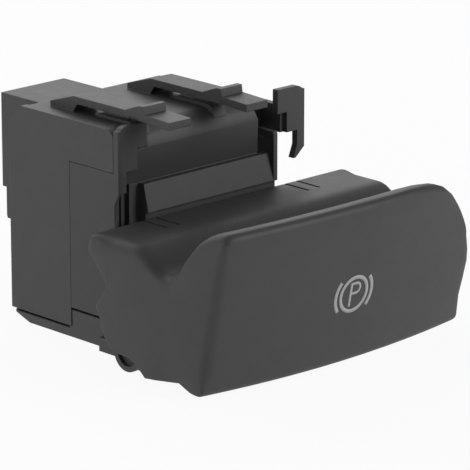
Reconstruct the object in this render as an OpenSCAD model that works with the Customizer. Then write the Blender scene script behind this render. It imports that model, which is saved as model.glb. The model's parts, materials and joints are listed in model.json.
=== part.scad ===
// Electric parking brake switch: a wide pull and push paddle with a finger trough behind its lip,
// hinged low in front of a box housing with snap arms, panel hooks and a rear plug socket.
// X runs across the paddle, Y from the face to the plug socket, Z up. The origin is the middle of the
// paddle's width, on the hooks' front plane, at the level of the housing's roof.

/* [Paddle] */
// Twice the distance from the symbol to the paddle's left end
paddle_w = 63.6; // [58:0.2:68]
// Distance from the symbol to the right end where it bulges most
right_bulge_x = 34.5; // [32.5:0.1:36]
// Distance from the symbol to the right end at the shelf
right_shelf_x = 32.4; // [31:0.1:33]
// Wall of the paddle's top, face and sides
paddle_wall = 1.8; // [1.2:0.1:2.2]
// Rounding of the paddle's ends along the shelf and the trough
shelf_edge_r = 2.6; // [1.5:0.1:3]
// Rounding of the paddle's ends along the face
face_edge_r = 1.8; // [1:0.1:2.2]
// Rounding of the paddle's ends along the lip
lip_edge_r = 1.2; // [0.8:0.1:1.3]
// Rounding of the paddle's ends along the rear and lower edge
rear_edge_r = 0.5; // [0.3:0.1:0.8]
// Y of the paddle's rear edge
paddle_rear_y = -0.9; // [-1.6:0.1:-0.8]
// Z of the shelf behind the finger trough
shelf_z = -16.7; // [-17.2:0.1:-16.5]
// Y at which the shelf starts to fall into the trough
shelf_y = -12.6; // [-14:0.1:-10]
// Y of the bottom of the finger trough
trough_y = -20.4; // [-22:0.1:-19]
// Z of the bottom of the finger trough
trough_z = -20.6; // [-21.5:0.1:-19.6]
// Y of the crest of the lip, at mid width
lip_y = -38.0; // [-40:0.1:-36.5]
// Z of the crest of the lip, at mid width
lip_z = -9.6; // [-11:0.1:-8.5]
// Radius of the crest of the lip
lip_r = 1.4; // [1.3:0.1:1.8]
// Lean of the face, its foot further back than its lip
face_lean = 11.5; // [8:0.5:14]
// How far the face bows forward at mid width
face_bow = 3.2; // [1:0.1:6]
// How much lower the lip is near the ends than at mid width
lip_crown = 0.6; // [0:0.1:2]
// Radius of the paddle's upper left corner, seen from the front
corner_r = 2.5; // [1.5:0.1:5]
// Width of the large soft corner at the upper right
right_corner_w = 20; // [14:0.5:24]
// Height of the large soft corner at the upper right
right_corner_h = 14.3; // [10:0.1:16]
// Z of the paddle's lower edge
paddle_foot_z = -40.6; // [-41.2:0.1:-40]
// Width of the flexing tongues in the paddle's shelf
tongue_w = 2.4; // [1.8:0.1:3]
// Length of the tongues
tongue_l = 7.2; // [4:0.1:8]
// Width of the slits beside the tongues
slit_w = 0.6; // [0.4:0.1:0.8]
// X of the middle of the tongues, on both sides
tongue_x = 17.8; // [16:0.1:20]

/* [Housing] */
// Width of the housing box
housing_w = 34; // [32:0.5:36]
// X of the housing's left face
housing_left_x = -23.4; // [-24.4:0.1:-22.8]
// Y of the housing's back wall, outside
housing_back_y = 26; // [25:0.5:30]
// Wall of the housing
housing_wall = 1.6; // [1.2:0.1:2]
// Y where the front frame's sides meet the housing shell
split_y = 13.3; // [12:0.1:16]
// Depth of the housing's walls below the roof at the back
wall_depth = 39.2; // [38.6:0.1:39.6]
// Depth of the front frame's side walls below the roof
frame_side_depth = 35.6; // [34:0.1:37]
// How far the left wall runs behind the back wall
fin_l = 4; // [2:0.5:6]
// Chamfer on the fin's upper corner
fin_chamfer = 3.4; // [2:0.1:5]
// Z of the underside of the base
base_z = -41.5; // [-42:0.1:-41.3]
// Inset of the base from the housing's faces
base_inset = 0.15; // [0.1:0.05:1]
// Y of the front of the base
base_front_y = 0.6; // [0.4:0.1:2]
// Z of the seam between the shell's sides and the front frame's sides
side_seam_z = -7.8; // [-9:0.1:-6.5]
// Gap in the seams between housing pieces
seam_gap = 0.1; // [0.05:0.05:0.2]
// Radius of the base's corners
base_r = 1.2; // [0.6:0.1:2]
// How far the base's underside stops before its rear edge
base_slope = 3.3; // [1:0.1:5]
// Height and depth of the shadow grooves along the base's sides
groove = 0.4; // [0.2:0.05:0.6]

/* [Socket] */
// Width of the plug socket block
socket_w = 15.5; // [14:0.5:18]
// How far the socket block stands behind the back wall
socket_l = 10.8; // [9:0.2:14]
// Height of the socket block
socket_h = 24; // [20:0.5:26]
// X of the socket block's left face
socket_x = -19.4; // [-20.4:0.1:-18.4]
// Wall of the socket block
socket_wall = 1.3; // [1:0.1:1.8]
// Side of a square contact pin
pin_side = 0.64; // [0.5:0.02:0.8]
// Distance from pin to pin
pin_pitch = 3; // [2.6:0.1:3.4]
// Distance between the two columns of pins
pin_column_gap = 5.6; // [5:0.2:6]

/* [Snap arms] */
// Width of a snap arm
arm_w = 5.3; // [4:0.1:6.5]
// Thickness of a snap arm
arm_t = 1.4; // [1:0.1:1.6]
// Height of an arm's top above the roof
arm_top = 3.0; // [2.8:0.1:3.6]
// Inset of the left arm from the housing's left side
arm_inset = 4; // [3:0.1:5]
// Distance from arm to arm
arm_pitch = 19; // [16:0.5:20.5]
// Length of the arm's foot
arm_foot_l = 7.4; // [6:0.2:9]
// Y of the back of the arm's foot
arm_back_y = 22.9; // [21:0.1:24]
// Height of the latch tooth above the arm
tooth_h = 1.4; // [0.8:0.1:1.8]
// Y of the steep face of the latch tooth
tooth_y = -2.6; // [-4:0.1:-2]
// Length of the finger tab in front of the tooth
tab_l = 6.5; // [4:0.1:8]
// Height of the low ribs on the roof under the arms
roof_rib_h = 0.55; // [0.3:0.05:1]
// Radius with which the roof rolls over into the apron
roof_edge_r = 4; // [2.5:0.1:4.5]

/* [Hooks and front panel] */
// Half of the distance over both hooks
hook_x = 23.4; // [22.8:0.1:24.4]
// Thickness of a hook
hook_t = 1.3; // [1:0.1:1.8]
// Height of the hooks' heads above the roof
hook_top = 0.8; // [0.3:0.1:1.4]
// Width of a hook's head
hook_head_w = 7; // [6:0.1:8]
// Depth of the head's foot below the roof
hook_head_h = 3.8; // [3:0.1:5]
// Width of the hook's neck
hook_neck_w = 4.6; // [3:0.1:5]
// Depth of the neck's foot below the roof
hook_neck_h = 7.7; // [6:0.1:8.5]
// Width of the hook's leg
hook_leg_w = 1.9; // [1.5:0.1:2.5]
// Depth of the right leg's foot below the roof
hook_leg_h = 13; // [11:0.1:14]
// Depth of the left leg's foot below the roof
left_leg_h = 11.6; // [10:0.1:13]
// X of the sloping panel's left end
panel_left_x = -16.2; // [-17:0.1:-15]
// X of the outer face of the cheek at the panel's right end
cheek_x = 16.4; // [15.6:0.1:16.8]
// Z of the panel's upper edge
panel_top_z = -11.2; // [-12:0.1:-10]
// Z of the panel's lower edge
panel_foot_z = -16.4; // [-17:0.1:-15.5]
// How much further forward the panel's foot is than its upper edge
panel_lean = 1.2; // [0.6:0.1:1.6]

/* [Hinge] */
// Y of the paddle's hinge axis
hinge_y = -8.6; // [-9.6:0.1:-8]
// Z of the paddle's hinge axis
hinge_z = -38.0; // [-38.4:0.1:-37.6]
// Radius of the hinge pins
hinge_pin_r = 1.0; // [0.8:0.05:1.2]
// Radial clearance of the pins in the carrier's lugs
hinge_clear = 0.05; // [0.02:0.01:0.09]
// Outer radius of the fixed hinge ears
ear_r = 3.4; // [3:0.1:3.4]
// Thickness of a hinge ear
ear_t = 3; // [2.4:0.1:3.4]
// Side clearance between ear, spring and lug
side_clear = 0.4; // [0.3:0.05:0.6]

/* [Inside] */
// Thickness of the circuit board
board_t = 1.6; // [1:0.1:2]
// Y of the circuit board's front face
board_y = 20; // [19:0.5:20.5]
// Running clearance round the contact slider
slide_clear = 0.35; // [0.2:0.05:0.5]
// Width of the contact slider
slider_w = 7; // [6:0.5:9]
// Height of the contact slider
slider_h = 12; // [10:0.5:13]
// Wire radius of the slider's springs
wire_r = 0.3; // [0.2:0.05:0.4]
// Coil radius of the slider's springs
coil_r = 1.9; // [1.6:0.1:2.2]
// Turns of the slider's springs
coil_turns = 5; // [4:1:6]
// Wire radius of the hinge springs
torsion_wire_r = 0.3; // [0.2:0.05:0.35]
// Turns of the hinge springs
torsion_turns = 3; // [2:1:4]

/* [Hidden] */
$fn = 48;
eps = 0.01;
// Overlap that joins the parts of one moulding
lap = 0.4;
housing_right_x = housing_left_x + housing_w;
housing_mid_x = (housing_left_x + housing_right_x) / 2;
half_w = paddle_w / 2;

// The paddle's outline, worked out as curves in the YZ plane and warped along X

function mix(a, b, t) = a + (b - a) * t;
function clamp01(t) = min(1, max(0, t));
function smooth(t) = let(c = clamp01(t)) c * c * (3 - 2 * c);
// Height of the paddle's upper surface at y: shelf, trough and the rise to the lip
lip_rise_power = 0.9;
function top_z(y) =
    y > trough_y ? mix(shelf_z, trough_z, smooth((shelf_y - y) / (shelf_y - trough_y)))
                 : mix(trough_z, lip_z, smooth(pow((trough_y - y) / (trough_y - lip_y), lip_rise_power)));
// Y of the face at height z, leaning back towards its foot
face_top_y = lip_y - lip_r;
function face_y(z) = face_top_y + tan(face_lean) * (lip_z - lip_r - z);
// How much of the bow reaches a point at y
function bow_share(y) = smooth((trough_y - y) / (trough_y - lip_y) * 1.25);
// How far the lip drops at distance d from the paddle's left or right end
function left_drop(d) = d >= corner_r ? 0 : corner_r * (1 - sqrt(1 - pow(1 - max(d, 0) / corner_r, 2)));
corner_power = 1.6;
function right_drop(d) =
    let(t = clamp01(1 - d / right_corner_w))
    min(right_corner_h * (1 - pow(1 - pow(t, corner_power), 1 / corner_power)), lip_z - lip_root_z - lip_min_h);
lip_root_z = trough_z;
// What is left of the lip's height at the right end
lip_min_h = 1;
function lip_scale(x) =
    let(drop = x > 0 ? right_drop(half_w - x) : left_drop(half_w + x),
        top = max(lip_z - lip_crown * pow(x / half_w, 2) - drop, lip_root_z + lip_min_h))
    (top - lip_root_z) / (lip_z - lip_root_z);
// The left end stands upright; the right end bulges at mid height
bulge_z = -28;
shelf_bulge_z = -20;
right_lean = 0.1;
function right_x(z) =
    z < bulge_z ? right_bulge_x + right_lean * (z - bulge_z)
    : let(t = clamp01((z - bulge_z) / (shelf_bulge_z - bulge_z)))
      mix(right_bulge_x, right_shelf_x, t * t);
// Moves a point of the mid-width outline to its place at x
function warp(x, p) =
    let(in_lip = p.x < trough_y && p.y > lip_root_z,
        z = in_lip ? lip_root_z + (p.y - lip_root_z) * lip_scale(x) : p.y,
        y = p.x + bow_share(p.x) * (face_bow * pow(x / half_w, 2) + tan(face_lean) * (p.y - z)))
    [x > 0 ? x * right_x(z) / half_w : x, y, z];

function arc(cx, cy, r, from, to, steps) =
    [for (i = [0 : steps]) let(a = mix(from, to, i / steps)) [cx + r * cos(a), cy + r * sin(a)]];
foot_r = 1.6;
rear_r = 1.5;
// The side view's scalloped lower and rear edge, from the foot of the face up to the shelf
rear_outline = [
    [-31.6, paddle_foot_z], [-30.8, paddle_foot_z + 0.05], [-29.6, paddle_foot_z + 0.15],
    [-27.5, paddle_foot_z + 0.7], [-25.3, paddle_foot_z + 1.3], [-18.4, paddle_foot_z + 0.4],
    [-15.6, paddle_foot_z + 0.1], [-14.4, -39.5], [-13.9, -39.4], [-12.8, -38.2], [-11.2, -37.65],
    [-8.8, -37.6], [-6.3, -36.9], [-4.9, -35.2], [-4.1, -33.5], [-3.6, -31.5], [-2.7, -30.2],
    [-3.1, -29.2], [-4.35, -27.8], [-5.2, -26.2], [-5.35, -25.4], [-5.0, -24.5], [-4.1, -23.4],
    [-2.5, -21.6], [-1.3, -20.7], [paddle_rear_y, -19.9]
];
top_steps = 26;
function upper_line(from_y, to_y, steps, drop) =
    [for (i = [0 : steps]) let(y = mix(from_y, to_y, i / steps)) [y, top_z(y) - drop]];
face_foot = [face_y(paddle_foot_z + foot_r) + foot_r, paddle_foot_z + foot_r];
face_steps = 7;
function face_line(from_z, to_z, inset) =
    [for (i = [1 : face_steps]) let(z = mix(from_z, to_z, i / (face_steps + 1))) [face_y(z) + inset, z]];
outer_outline = concat(
    arc(paddle_rear_y - rear_r, shelf_z - rear_r, rear_r, 0, 90, 4),
    upper_line(paddle_rear_y - rear_r - 1, lip_y, top_steps, 0),
    arc(lip_y, lip_z - lip_r, lip_r, 105, 180, 5),
    face_line(lip_z - lip_r, paddle_foot_z + foot_r, 0),
    arc(face_foot.x, face_foot.y, foot_r, 180 + face_lean, 258, 4),
    rear_outline);
// Shrinks a closed outline along its corners' bisectors, by the distance given for each point
function unit(v) = v / max(norm(v), 1e-6);
function inset_outline(pts, by) =
    let(n = len(pts))
    [for (i = [0 : n - 1])
        let(a = unit(pts[i] - pts[(i + n - 1) % n]), b = unit(pts[(i + 1) % n] - pts[i]), t = unit(a + b))
        pts[i] + by[i] * [-t.y, t.x]];
// Joins the outlines at the stations xs into one closed solid
module loft(rings) {
    n = len(rings[0]);
    m = len(rings);
    points = [for (r = rings) each r];
    sides = [for (j = [0 : m - 2], i = [0 : n - 1])
        let(a = j * n + i, b = j * n + (i + 1) % n) each [[a, b + n, b], [a, a + n, b + n]]];
    first = [[for (i = [0 : n - 1]) i]];
    last = [[for (i = [n - 1 : -1 : 0]) (m - 1) * n + i]];
    polyhedron(points = points, faces = concat(sides, first, last), convexity = 6);
}
// Distances from the paddle's end at which the outer skin is worked out
end_steps = [0, 0.1, 0.3, 0.6, 1.1, 1.8, 2.8, 4.4, 6.5, 9, 12, 15.5, 20, 26];
// Rounding of the paddle's end at a point of the mid-width outline
face_lower_z = -40;
function face_round(z) =
    mix(rear_edge_r, mix(face_edge_r, lip_edge_r, smooth((z + 20) / 9)), smooth((z - face_lower_z) / 4));
function edge_r(p) =
    p.x < face_foot.x - 0.4 ? face_round(p.y)
    : p.y < top_z(p.x) - 2.9 ? rear_edge_r
    : p.x > trough_y ? mix(lip_edge_r, shelf_edge_r, smooth((paddle_rear_y - rear_r - p.x) / 4))
    : mix(shelf_edge_r, lip_edge_r, smooth((p.y - trough_z) / 5));
function end_inset(d, r) = d >= r ? 0 : r - sqrt(max(0, r * r - pow(r - d, 2)));
function mirrored(list) = concat([for (v = list) -v], [0], [for (i = [len(list) - 1 : -1 : 0]) list[i]]);
skin_x = mirrored([for (d = end_steps) half_w - d]);
function outer_ring(x) =
    [for (p = inset_outline(outer_outline, [for (q = outer_outline) end_inset(half_w - abs(x), edge_r(q))]))
        warp(x, p)];

// The hollow under the paddle's skin, open at the back and underneath
hollow_top_y = lip_y + 3.4;
hollow_top_z = top_z(hollow_top_y) - paddle_wall * 1.25;
hollow_outline = concat(
    [[8, shelf_z - paddle_wall]],
    upper_line(paddle_rear_y, hollow_top_y, 18, paddle_wall * 1.12),
    face_line(hollow_top_z, -46, paddle_wall + 0.1),
    [[face_y(-46) + paddle_wall, -46], [8, -46]]);
hollow_x = mirrored([for (d = [0, 1.2, 3, 6, 11, 16, 21.5, 26.5]) half_w - paddle_wall - d]);
function hollow_ring(x) = [for (p = hollow_outline) warp(x, p)];

// Stiffening ribs that follow the underside of the shelf and the trough
rib_x = [8, 23];
rib_t = 1.1;
rib_h = 1.5;
rib_y = [-4.5, -10, -13.5, -16.5, -20.4, -24.5];
module skin_rib(x) {
    for (i = [0 : len(rib_y) - 2])
        hull()
            for (y = [rib_y[i], rib_y[i + 1]])
                translate([x - rib_t / 2, y - 0.2, top_z(y) - paddle_wall - rib_h])
                    cube([rib_t, 0.4, rib_h + paddle_wall / 2]);
}
boss_x = 12;
boss_z = -31;
boss_r = 2.6;
boss_back_y = -28.6;
// The bosses end half way through the wall of the face
boss_l = boss_back_y - (face_y(boss_z) + face_bow * pow(boss_x / half_w, 2) + paddle_wall / 2);
module paddle_shell() {
    color([0.17, 0.17, 0.175]) {
        difference() {
            loft([for (x = skin_x) outer_ring(x)]);
            loft([for (x = hollow_x) hollow_ring(x)]);
            for (side = [-1, 1], edge = [-1, 1])
                hull()
                    for (y = [paddle_rear_y - tongue_l, paddle_rear_y + 2])
                        translate([side * tongue_x + edge * (tongue_w + slit_w) / 2, y, shelf_z - 4])
                            cylinder(r = slit_w / 2, h = 6, $fn = 16);
        }
        for (side = [-1, 1], x = rib_x)
            skin_rib(side * x);
        for (side = [-1, 1])
            translate([side * boss_x, boss_back_y, boss_z])
                rotate([90, 0, 0])
                    difference() {
                        cylinder(r = boss_r, h = boss_l);
                        translate([0, 0, -1])
                            cylinder(r = screw_r + pilot_clear, h = pilot_depth + 1);
                    }
    }
}

// The carrier: screwed behind the paddle's face, it holds the hinge lugs and the drive finger
carrier_front_y = boss_back_y;
carrier_t = 1.8;
carrier_top_z = -24;
carrier_foot_z = -38;
carrier_half_w = 24;
// Gap between the ears and the insides of the paddle's ends
ear_gap = 0.5;
ear_out_x = half_w - paddle_wall - ear_gap;
ear_in_x = ear_out_x - ear_t;
torsion_pitch = 2.6 * torsion_wire_r;
spring_gap = torsion_pitch * torsion_turns + 2 * torsion_wire_r + 2 * side_clear;
lug_out_x = ear_in_x - spring_gap;
lug_t = 3;
lug_in_x = lug_out_x - lug_t;
lug_r = 2.2;
screw_r = 0.9;
pilot_clear = 0.05;
pilot_depth = 3.6;
screw_bite = 3;
finger_w = 3;
finger_z = -25;
finger_r = 1.0;
// Half the thickness of the finger behind its round tip
finger_half_t = 0.65;
slider_front_y = 7;
finger_tip_y = slider_front_y + 2.6;
finger_web_l = 20;
finger_web_h = 7;
slider_x = housing_mid_x;
module hinge_lug(side) {
    x0 = side > 0 ? lug_in_x : -lug_out_x;
    difference() {
        union() {
            translate([x0, hinge_y, hinge_z])
                rotate([0, 90, 0])
                    cylinder(r = lug_r, h = lug_t);
            translate([x0, carrier_front_y, hinge_z - lug_r])
                cube([lug_t, hinge_y - carrier_front_y, 2 * lug_r]);
            translate([x0, carrier_front_y, hinge_z])
                rotate([90, 0, 90])
                    linear_extrude(height = lug_t)
                        polygon([[0, 0], [hinge_y - carrier_front_y, lug_r], [carrier_t, carrier_top_z - hinge_z],
                                 [0, carrier_top_z - hinge_z]]);
        }
        translate([x0 - 1, hinge_y, hinge_z])
            rotate([0, 90, 0])
                cylinder(r = hinge_pin_r + hinge_clear, h = lug_t + 2);
    }
}
module paddle_carrier() {
    color([0.12, 0.12, 0.125]) {
        difference() {
            translate([-carrier_half_w, carrier_front_y, carrier_foot_z])
                cube([2 * carrier_half_w, carrier_t, carrier_top_z - carrier_foot_z]);
            for (side = [-1, 1])
                translate([side * boss_x, carrier_front_y - 1, boss_z])
                    rotate([-90, 0, 0])
                        cylinder(r = screw_r + 0.15, h = carrier_t + 2);
        }
        for (side = [-1, 1])
            hinge_lug(side);
        translate([slider_x - finger_w / 2, carrier_front_y, finger_z - finger_half_t])
            cube([finger_w, finger_tip_y - carrier_front_y, 2 * finger_half_t]);
        translate([slider_x - finger_w / 2, finger_tip_y, finger_z])
            rotate([0, 90, 0])
                cylinder(r = finger_r, h = finger_w);
        // Web under the finger
        translate([slider_x - finger_w / 2, carrier_front_y, finger_z])
            rotate([90, 0, 90])
                linear_extrude(height = finger_w)
                    polygon([[0, -finger_web_h], [carrier_t, -finger_web_h], [finger_web_l, 0], [0, 0]]);
    }
}

screw_head_r = 1.8;
screw_head_h = 1.2;
module thread_screw(length) {
    union() {
        cylinder(r = screw_head_r, h = screw_head_h);
        translate([0, 0, -length])
            cylinder(r = screw_r, h = length + eps);
    }
}
module carrier_screws() {
    color([0.7, 0.7, 0.72])
        for (side = [-1, 1])
            translate([side * boss_x, carrier_front_y + carrier_t, boss_z])
                rotate([-90, 0, 0])
                    difference() {
                        thread_screw(carrier_t + screw_bite);
                        translate([-screw_head_r, -0.25, screw_head_h - 0.5])
                            cube([2 * screw_head_r, 0.5, 1]);
                        translate([-0.25, -screw_head_r, screw_head_h - 0.5])
                            cube([0.5, 2 * screw_head_r, 1]);
                    }
}

diffuser_r = 5;
diffuser_t = 4.4;
diffuser_z = -27;
module symbol_diffuser() {
    color([0.85, 0.87, 0.88, 0.6])
        translate([0, carrier_front_y, diffuser_z])
            rotate([90, 0, 0])
                cylinder(r = diffuser_r, h = diffuser_t);
}

// The front frame: side cheeks, front wall, sloping panel, hooks and the hinge ears

hook_corner_r = 2.2;
hook_toe_h = 2.1;
module hook_outline(leg_h, toe_h) {
    translate([-hook_head_w, -hook_head_h])
        square([hook_head_w, hook_head_h + hook_top - hook_corner_r]);
    translate([-hook_head_w, hook_top - hook_corner_r - eps])
        square([hook_head_w - hook_corner_r, hook_corner_r + eps]);
    translate([-hook_corner_r, hook_top - hook_corner_r])
        circle(r = hook_corner_r);
    translate([-hook_neck_w, -hook_neck_h])
        square([hook_neck_w, hook_neck_h]);
    translate([-hook_leg_w, -leg_h + toe_h])
        square([hook_leg_w, leg_h - toe_h]);
    if (toe_h > 0)
        polygon([[-hook_leg_w - 0.95, -leg_h], [-hook_leg_w - 0.35, -leg_h], [0, -leg_h + toe_h - 0.2],
                 [0, -leg_h + toe_h + lap], [-hook_leg_w, -leg_h + toe_h + lap]]);
}
// The right leg ends in a bent toe, the left leg ends square on the side wall
module hook(side) {
    translate([side * hook_x, hook_t, 0])
        mirror([side < 0 ? 1 : 0, 0, 0])
            rotate([90, 0, 0])
                linear_extrude(height = hook_t)
                    hook_outline(side > 0 ? hook_leg_h : left_leg_h, side > 0 ? hook_toe_h : 0);
}
panel_t = 1.5;
panel_foot_y = 0;
panel_foot_l = 4.2;
cheek_t = 1;
module sloping_panel() {
    translate([panel_left_x, 0, 0])
        rotate([90, 0, 90])
            linear_extrude(height = cheek_x - cheek_t + lap - panel_left_x)
                polygon([[panel_foot_y, panel_foot_z], [panel_foot_y + panel_lean, panel_top_z],
                         [panel_foot_y + panel_lean + panel_t, panel_top_z],
                         [panel_foot_y + panel_foot_l, panel_foot_z + 1], [panel_foot_y + panel_foot_l, panel_foot_z]]);
}
front_wall_y = 2.6;
front_wall_t = 1.8;
front_wall_top_z = panel_top_z + 0.2;
// The front wall flares to the right towards the panel's foot
flare = 4.6;
function flare_x(z) = housing_right_x + flare * (z + housing_wall) / (panel_foot_z + housing_wall);
web_x = 17.9;
web_t = 1.4;
bracket_back_y = 8;
bracket_t = 1.8;
bracket_foot_z = -hook_neck_h;
bracket_top_z = -2.5;
module xz_plate(front_y, thick, outline) {
    translate([0, front_y + thick, 0])
        rotate([90, 0, 0])
            linear_extrude(height = thick)
                polygon(outline);
}
module front_wall() {
    left_x = housing_left_x + housing_wall - lap;
    difference() {
        xz_plate(front_wall_y, front_wall_t,
                 [[void_x, front_wall_top_z], [flare_x(front_wall_top_z), front_wall_top_z],
                  [flare_x(panel_foot_z), panel_foot_z], [cheek_x - lap, panel_foot_z],
                  [cheek_x - lap, panel_foot_z - 3], [housing_right_x, panel_foot_z - 9],
                  [housing_right_x - lap, -frame_side_depth], [left_x, -frame_side_depth],
                  [left_x, panel_foot_z - 2.6], [void_x, panel_foot_z - 2.6]]);
        translate([slider_x - window_w / 2, front_wall_y - 1, finger_z - window_h / 2])
            cube([window_w, front_wall_t + 2, window_h]);
        translate([light_x, front_wall_y - 1, light_z])
            rotate([-90, 0, 0])
                cylinder(r = light_r + 0.2, h = front_wall_t + 2);
    }
}
// The bracket that carries the right hook: a cheek beside the panel, a plate behind it and a web
module hook_bracket() {
    wall_top_z = side_seam_z - seam_gap;
    cheek_foot_z = panel_foot_z - skirt_h;
    translate([cheek_x - cheek_t, 0, panel_foot_z])
        cube([cheek_t, bracket_back_y, bracket_foot_z + lap - panel_foot_z]);
    translate([cheek_x - cheek_t, skirt_y, cheek_foot_z])
        cube([cheek_t, bracket_back_y - skirt_y, skirt_h + lap]);
    xz_plate(bracket_back_y - bracket_t, bracket_t,
             [[housing_right_x - lap, wall_top_z - 1], [housing_right_x + 1.4, wall_top_z - 1],
              [housing_right_x + 1.4, bracket_foot_z], [web_x + web_t, bracket_foot_z],
              [web_x + web_t, bracket_top_z], [housing_right_x + seam_gap, bracket_top_z],
              [housing_right_x + seam_gap, wall_top_z], [housing_right_x - lap, wall_top_z]]);
    translate([web_x, hook_t - lap, bracket_foot_z])
        cube([web_t, bracket_back_y - hook_t + lap, bracket_top_z - bracket_foot_z]);
}
// The skirt under the sloping panel, behind the paddle's shelf
skirt_y = 0.7;
skirt_h = 2.2;
module panel_skirt() {
    translate([panel_left_x, skirt_y, panel_foot_z - skirt_h])
        cube([cheek_x - lap - panel_left_x, front_wall_y + lap - skirt_y, skirt_h + lap]);
}
void_x = -18.5;
// Blind pocket between the left side wall and the panel
pocket_y = 6;
pocket_t = 1.2;
module side_pocket() {
    left_x = housing_left_x + housing_wall - lap;
    foot_z = panel_foot_z - 3.4;
    height = side_seam_z - seam_gap - foot_z;
    translate([left_x, pocket_y, foot_z])
        cube([void_x + pocket_t - left_x, pocket_t, height]);
    translate([void_x, front_wall_y + front_wall_t - lap, foot_z])
        cube([pocket_t, pocket_y - front_wall_y - front_wall_t + 2 * lap, height]);
}
window_w = finger_w + 4;
window_h = 9;
rim_t = 0.5;
module front_frame() {
    side_top_z = side_seam_z - seam_gap;
    color([0.15, 0.15, 0.155]) {
        // Left and right side walls, flush with the shell's walls; the left one ends in a thin rim
        translate([housing_left_x, front_wall_y + lap, -frame_side_depth])
            cube([housing_wall, split_y - seam_gap - front_wall_y - lap, frame_side_depth + side_top_z]);
        translate([housing_left_x, hook_t - 0.2, -frame_side_depth])
            cube([rim_t, front_wall_y + 2 * lap - hook_t + 0.2, frame_side_depth + side_top_z]);
        translate([housing_left_x, 0, 0])
            rotate([90, 0, 90])
                linear_extrude(height = rim_t)
                    polygon([[0, -left_leg_h + lap], [0, -left_leg_h], [hook_t, -left_leg_h - 2.6],
                             [hook_t + lap, -left_leg_h - 2.6], [hook_t + lap, -left_leg_h + lap]]);
        translate([housing_right_x - housing_wall, front_wall_y + front_wall_t - lap, -frame_side_depth])
            cube([housing_wall, split_y - seam_gap - front_wall_y - front_wall_t + lap,
                  frame_side_depth + side_top_z]);
        front_wall();
        sloping_panel();
        panel_skirt();
        side_pocket();
        hook(-1);
        hook(1);
        hook_bracket();
        hinge_arms();
        slider_rails();
    }
}
bar_y = -5.4;
bar_w = 4.2;
bar_z = -39.2;
bar_h = 2.6;
floor_front_y = -3;
floor_h = 3.8;
ear_recess = 0.8;
// Depth of the blind bore that holds a pin's end
pin_seat = ear_t - ear_recess - 0.6;
module hinge_arms() {
    // Floor plate, cross bar in front of it and the two ears that hold the hinge pins
    translate([housing_left_x + 1, floor_front_y, -frame_side_depth - floor_h + 0.8])
        cube([housing_w - 2, front_wall_y + front_wall_t - 0.2 - floor_front_y, floor_h]);
    translate([-ear_out_x, bar_y, bar_z])
        cube([2 * ear_out_x, bar_w, bar_h]);
    for (side = [-1, 1]) {
        x0 = side > 0 ? ear_in_x : -ear_out_x;
        difference() {
            union() {
                translate([x0, hinge_y, hinge_z])
                    rotate([0, 90, 0])
                        cylinder(r = ear_r, h = ear_t);
                translate([x0, hinge_y, bar_z])
                    cube([ear_t, bar_y + lap - hinge_y, bar_h]);
            }
            translate([side > 0 ? ear_in_x - 1 : -ear_in_x - pin_seat, hinge_y, hinge_z])
                rotate([0, 90, 0])
                    cylinder(r = hinge_pin_r, h = pin_seat + 1);
            // Shallow recess outside
            translate([side > 0 ? ear_out_x - ear_recess : -ear_out_x - 1, hinge_y, hinge_z])
                rotate([0, 90, 0])
                    cylinder(r = ear_r - 1, h = ear_recess + 1);
        }
    }
}
rail_t = 1.4;
rail_top_z = -14;
rail_foot_z = -35;
// Rubber buffers in the window, which stop the drive finger at both ends of its travel
pad_up = 2.3;
pad_down = 1.6;
module stop_pads() {
    color([0.06, 0.06, 0.06])
        for (z = [[finger_z + pad_up, finger_z + window_h / 2], [finger_z - window_h / 2, finger_z - pad_down]])
            translate([slider_x - window_w / 2, front_wall_y, z[0]])
                cube([window_w, front_wall_t, z[1] - z[0]]);
}
module slider_rails() {
    for (side = [-1, 1])
        translate([slider_x + side * (slider_w / 2 + slide_clear + rail_t / 2) - rail_t / 2,
                   front_wall_y + front_wall_t - lap, rail_foot_z])
            cube([rail_t, board_y - 3 + lap - front_wall_y - front_wall_t, rail_top_z - rail_foot_z]);
}

module hinge_pin(side) {
    in_x = lug_in_x - 0.6;
    out_x = ear_in_x + pin_seat;
    color([0.72, 0.72, 0.74])
        translate([side > 0 ? in_x : -out_x, hinge_y, hinge_z])
            rotate([0, 90, 0])
                cylinder(r = hinge_pin_r, h = out_x - in_x);
}
module left_hinge_pin() {
    hinge_pin(-1);
}
module right_hinge_pin() {
    hinge_pin(1);
}

// Sweeps a round wire along a list of 3D points
wire_sides = 8;
function frame_x(dir) = unit(cross(dir, abs(dir.x) > 0.8 ? [0, 0, 1] : [1, 0, 0]));
function wire_ring(p, dir, r) =
    let(u = frame_x(dir), v = cross(dir, u))
    [for (k = [0 : wire_sides - 1]) p + r * (cos(360 * k / wire_sides) * u + sin(360 * k / wire_sides) * v)];
function wire_dir(path, i) = unit(path[min(i + 1, len(path) - 1)] - path[max(i - 1, 0)]);
module wire(path, r) {
    loft([for (i = [0 : len(path) - 1]) wire_ring(path[i], wire_dir(path, i), r)]);
}

torsion_coil_r = hinge_pin_r + hinge_clear + torsion_wire_r + 0.35;
torsion_leg = 4.5;
torsion_steps = 12;
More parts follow.
